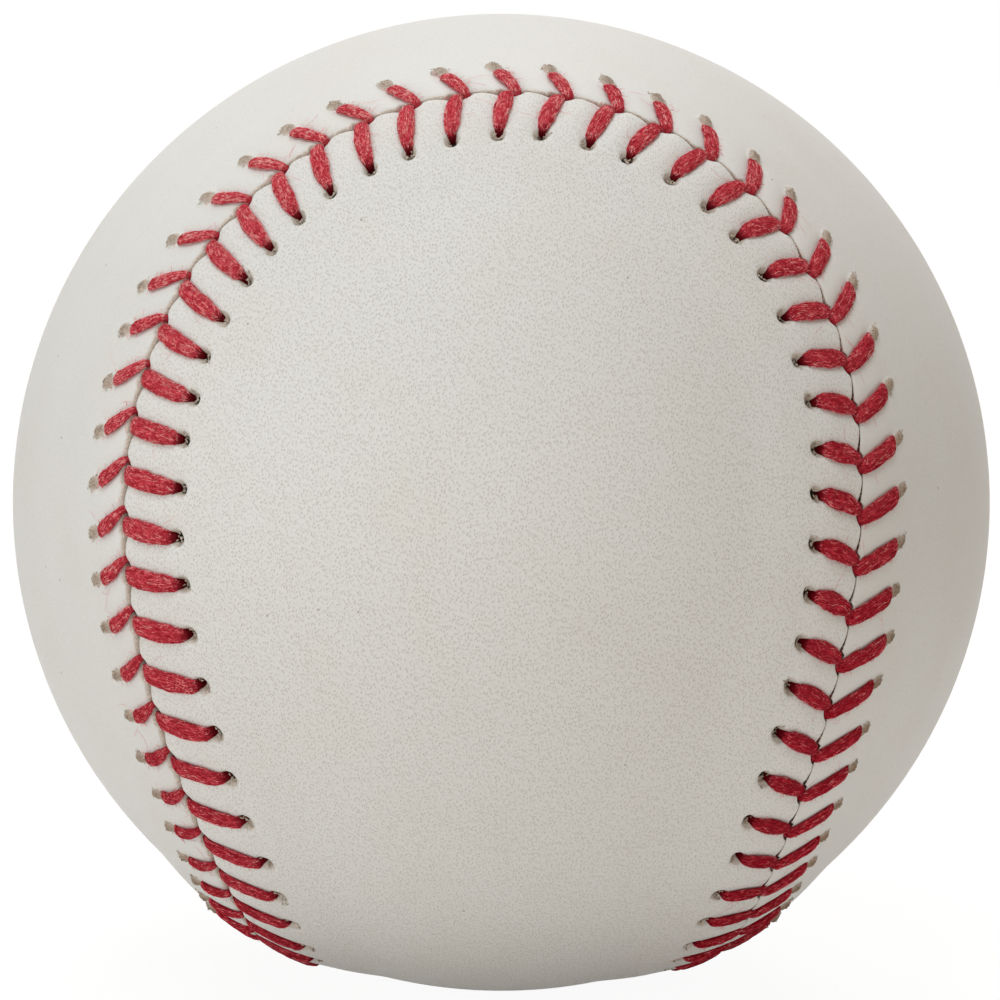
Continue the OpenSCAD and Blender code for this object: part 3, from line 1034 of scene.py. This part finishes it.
def leather_finish(name, lobe_turn, pore_depth):
    finish, tree, skin = new_finish(name)
    raw = put(tree, "Attribute", attribute_name="raw").outputs["Fac"]
    deep = put(tree, "Attribute", attribute_name="deep").outputs["Fac"]
    fluff = put(tree, "Attribute", attribute_name="fluff").outputs["Fac"]
    seam_mm = put(tree, "Attribute", attribute_name="seam_mm").outputs["Fac"]
    pore = use_effect(tree, pores, Turn=lobe_turn, Per_mm=6.0)
    mark = use_effect(tree, stain, Per_mm=0.12)
    tuft = use_effect(tree, raw_fibre, Per_mm=4.5)
    open_skin = sums(tree, "ADD", 0.8, sums(tree, "MULTIPLY", ramped(tree, seam_mm, 1.0, 8.0), 0.2))
    pit = sums(tree, "MULTIPLY", sums(tree, "MULTIPLY", pore["Pit"], open_skin), pore_depth)
    base = mixed(tree, sums(tree, "MULTIPLY", mark["Tone"], 0.4), WARM_WHITE, HANDLED_WHITE)
    base = mixed(tree, sums(tree, "MULTIPLY", pore["Grain"], 0.12), base, GRAIN_SHADE)
    # Painted shade in the pore pits.
    base = mixed(tree, pit, base, PORE_PAINTED_SHADE)
    base = mixed(tree, sums(tree, "MULTIPLY", mark["Speck"], 0.55), base, SPECK_BROWN)
    torn = mixed(tree, tuft["Tone"], RAW_BEIGE, RAW_CREAM)
    matted = mixed(tree, tuft["Tone"], TUFT_BROWN, TUFT_TAN)
    torn = mixed(tree, fluff, torn, matted)
    ragged = sums(tree, "MULTIPLY", sums(tree, "SUBTRACT", tuft["Tone"], 0.5), 0.45)
    # Painted shade: the deepest places are painted near black.
    torn = mixed(tree, ramped(tree, sums(tree, "ADD", deep, ragged), 0.72, 1.0), torn, DEEP_SHADE)
    raw_edge = ramped(tree, sums(tree, "ADD", raw, ragged), 0.25, 0.7)
    join(tree, mixed(tree, raw_edge, base, torn), skin.inputs["Base Color"])
    height = sums(tree, "SUBTRACT", pore["Grain"], pit)
    nap = sums(tree, "MULTIPLY", sums(tree, "MULTIPLY", raw, tuft["Tone"]), 4.0)
    height = sums(tree, "ADD", height, nap)
    relief = put(tree, "Bump", Strength=0.5, Distance=0.00004, Height=height)
    join(tree, relief.outputs[0], skin.inputs["Normal"])
    join(tree, sums(tree, "ADD", 0.55, sums(tree, "MULTIPLY", pit, 0.4)), skin.inputs["Roughness"])
    skin.inputs["Specular IOR Level"].default_value = 0.2
    return finish


front_leather.data.materials.append(leather_finish("front_leather", lobe_turn=0.0, pore_depth=0.43))
top_leather.data.materials.append(leather_finish("top_leather", lobe_turn=math.pi / 2, pore_depth=0.12))
print("leather finishes on both panels")

# %% Curl finish
CURL_BROWN = (0.28, 0.19, 0.12, 1)
CURL_CREAM = (0.8, 0.71, 0.61, 1)
CURL_SHADE = (0.5, 0.43, 0.33, 1)
curl_finish, tree, flesh = new_finish("raw_curls")
shade = put(tree, "Attribute", attribute_name="shade").outputs["Fac"]
tuft = use_effect(tree, raw_fibre, Per_mm=12.0)
cream = mixed(tree, shade, CURL_BROWN, CURL_CREAM)
curled = mixed(tree, sums(tree, "MULTIPLY", tuft["Tone"], 0.4), cream, CURL_SHADE)
join(tree, curled, flesh.inputs["Base Color"])
flesh.inputs["Roughness"].default_value = 0.9
flesh.inputs["Specular IOR Level"].default_value = 0.15
for piece in (curls, fluff):
    piece.data.materials.append(curl_finish)
print("curl finish on", curls.name, "and", fluff.name)

# %% [markdown]
# ## Red thread
# The spun thread is crimson with pale pink fibres. The tube gets long streaks from its UV map, broken
# into locks: the low streaks are partly the yarn's dark crimson and partly painted shade between the
# fibres, and the raised crests are pale pink. Painted light makes the tube paler where the most light
# falls, and painted shade darkens it where it sinks into a hole or the seam. The fibres take their own
# colour from their shade attribute.

# %% Thread finish
CRIMSON = (0.23, 0.001, 0.009, 1)
ROSE = (0.68, 0.02, 0.045, 1)
# Painted light: paler reds for the stretches of thread where the most light falls.
PAINTED_LIT_CRIMSON = (0.46, 0.014, 0.03, 1)
PAINTED_LIT_ROSE = (0.92, 0.15, 0.18, 1)
SUNK_SHADE_RED = (0.1, 0.003, 0.006, 1)
thread_finish, tree, yarn = new_finish("red_yarn")
spun = use_effect(tree, streaks, Along=300.0, Across=9.0)
sunk = put(tree, "Attribute", attribute_name="sunk").outputs["Fac"]
painted_lit = put(tree, "Attribute", attribute_name="worn").outputs["Fac"]
crest_red = mixed(tree, painted_lit, ROSE, PAINTED_LIT_ROSE)
lock = use_effect(tree, raw_fibre, Per_mm=2.4)
# The low streaks are partly the yarn's dark crimson and partly painted shade between the fibres.
crest = sums(tree, "MULTIPLY", spun["Streak"], sums(tree, "ADD", 0.35, lock["Tone"]))
strand_red = mixed(tree, crest, mixed(tree, painted_lit, CRIMSON, PAINTED_LIT_CRIMSON), crest_red)
# Painted shade darkens the thread where it sinks into a hole or the seam.
join(tree, mixed(tree, sunk, strand_red, SUNK_SHADE_RED), yarn.inputs["Base Color"])
relief = put(tree, "Bump", Strength=0.7, Distance=0.00006, Height=spun["Streak"])
join(tree, relief.outputs[0], yarn.inputs["Normal"])
yarn.inputs["Roughness"].default_value = 0.8
yarn.inputs["Specular IOR Level"].default_value = 0.0
for piece in (thread_a, thread_b):
    piece.data.materials.append(thread_finish)
print("thread finish on", thread_a.name, "and", thread_b.name)

# %% Fibre finish
FIBRE_RED = (0.4, 0.002, 0.016, 1)
FIBRE_PINK = (0.96, 0.11, 0.15, 1)
FIBRE_PALE = (0.98, 0.52, 0.48, 1)
fibre_finish, tree, yarn = new_finish("red_fibre")
shade = put(tree, "Attribute", attribute_name="shade").outputs["Fac"]
lock = use_effect(tree, raw_fibre, Per_mm=2.4)
pale = sums(tree, "MULTIPLY", shade, sums(tree, "ADD", 0.4, sums(tree, "MULTIPLY", lock["Tone"], 0.9)))
tint = mixed(tree, ramped(tree, pale, 0.0, 0.8), FIBRE_RED, FIBRE_PINK)
join(tree, mixed(tree, ramped(tree, pale, 0.6, 1.1), tint, FIBRE_PALE), yarn.inputs["Base Color"])
yarn.inputs["Roughness"].default_value = 0.7
yarn.inputs["Sheen Weight"].default_value = 0.15
yarn.inputs["Sheen Tint"].default_value = (1.0, 0.5, 0.52, 1)
yarn.inputs["Specular IOR Level"].default_value = 0.03
for piece in (*fibre_pieces, fuzz):
    piece.data.materials.append(fibre_finish)
print("fibre finish on", len(fibre_pieces) + 1, "pieces")

# %% [markdown]
# ## The core inside
# The cork, rubber and yarn layers are whole inside the cover. Their solids already have the right
# shape, so they keep it and get finishes of their own: cork granules, moulded rubber with a faint
# bloom, and matted wool and cotton.


# %% Core finishes
def core_finish(name, dark, light, per_mm, roughness):
    finish, tree, layer = new_finish(name)
    tuft = use_effect(tree, raw_fibre, Per_mm=per_mm)
    mark = use_effect(tree, stain, Per_mm=0.3)
    tone = mixed(tree, tuft["Tone"], dark, light)
    patchy = mixed(tree, sums(tree, "MULTIPLY", mark["Tone"], 0.3), tone, dark)
    join(tree, patchy, layer.inputs["Base Color"])
    relief = put(tree, "Bump", Strength=0.6, Distance=0.0001, Height=tuft["Tone"])
    join(tree, relief.outputs[0], layer.inputs["Normal"])
    layer.inputs["Roughness"].default_value = roughness
    return finish


cork = core_finish("cork", (0.2, 0.1, 0.045, 1), (0.5, 0.31, 0.16, 1), 1.2, 0.85)
black_rubber = core_finish("black_rubber", (0.012, 0.012, 0.012, 1), (0.03, 0.03, 0.03, 1), 3.0, 0.6)
red_rubber = core_finish("red_rubber", (0.36, 0.05, 0.04, 1), (0.46, 0.08, 0.06, 1), 3.0, 0.55)
grey_wool = core_finish("grey_wool", (0.2, 0.2, 0.21, 1), (0.42, 0.42, 0.42, 1), 4.0, 0.95)
white_wool = core_finish("white_wool", (0.55, 0.52, 0.45, 1), (0.78, 0.76, 0.7, 1), 4.0, 0.95)
white_cotton = core_finish("white_cotton", (0.6, 0.58, 0.53, 1), (0.8, 0.79, 0.76, 1), 6.0, 0.9)
LAYERS = {
    "cork_nucleus": cork,
    "black_half_upper": black_rubber,
    "black_half_lower": black_rubber,
    "core_gasket": red_rubber,
    "red_jacket": red_rubber,
    "first_winding": grey_wool,
    "second_winding": white_wool,
    "third_winding": grey_wool,
    "finishing_winding": white_cotton,
}
for layer, finish in LAYERS.items():
    solids[layer].data.materials.clear()
    solids[layer].data.materials.append(finish)
print("layers finished:", len(LAYERS))
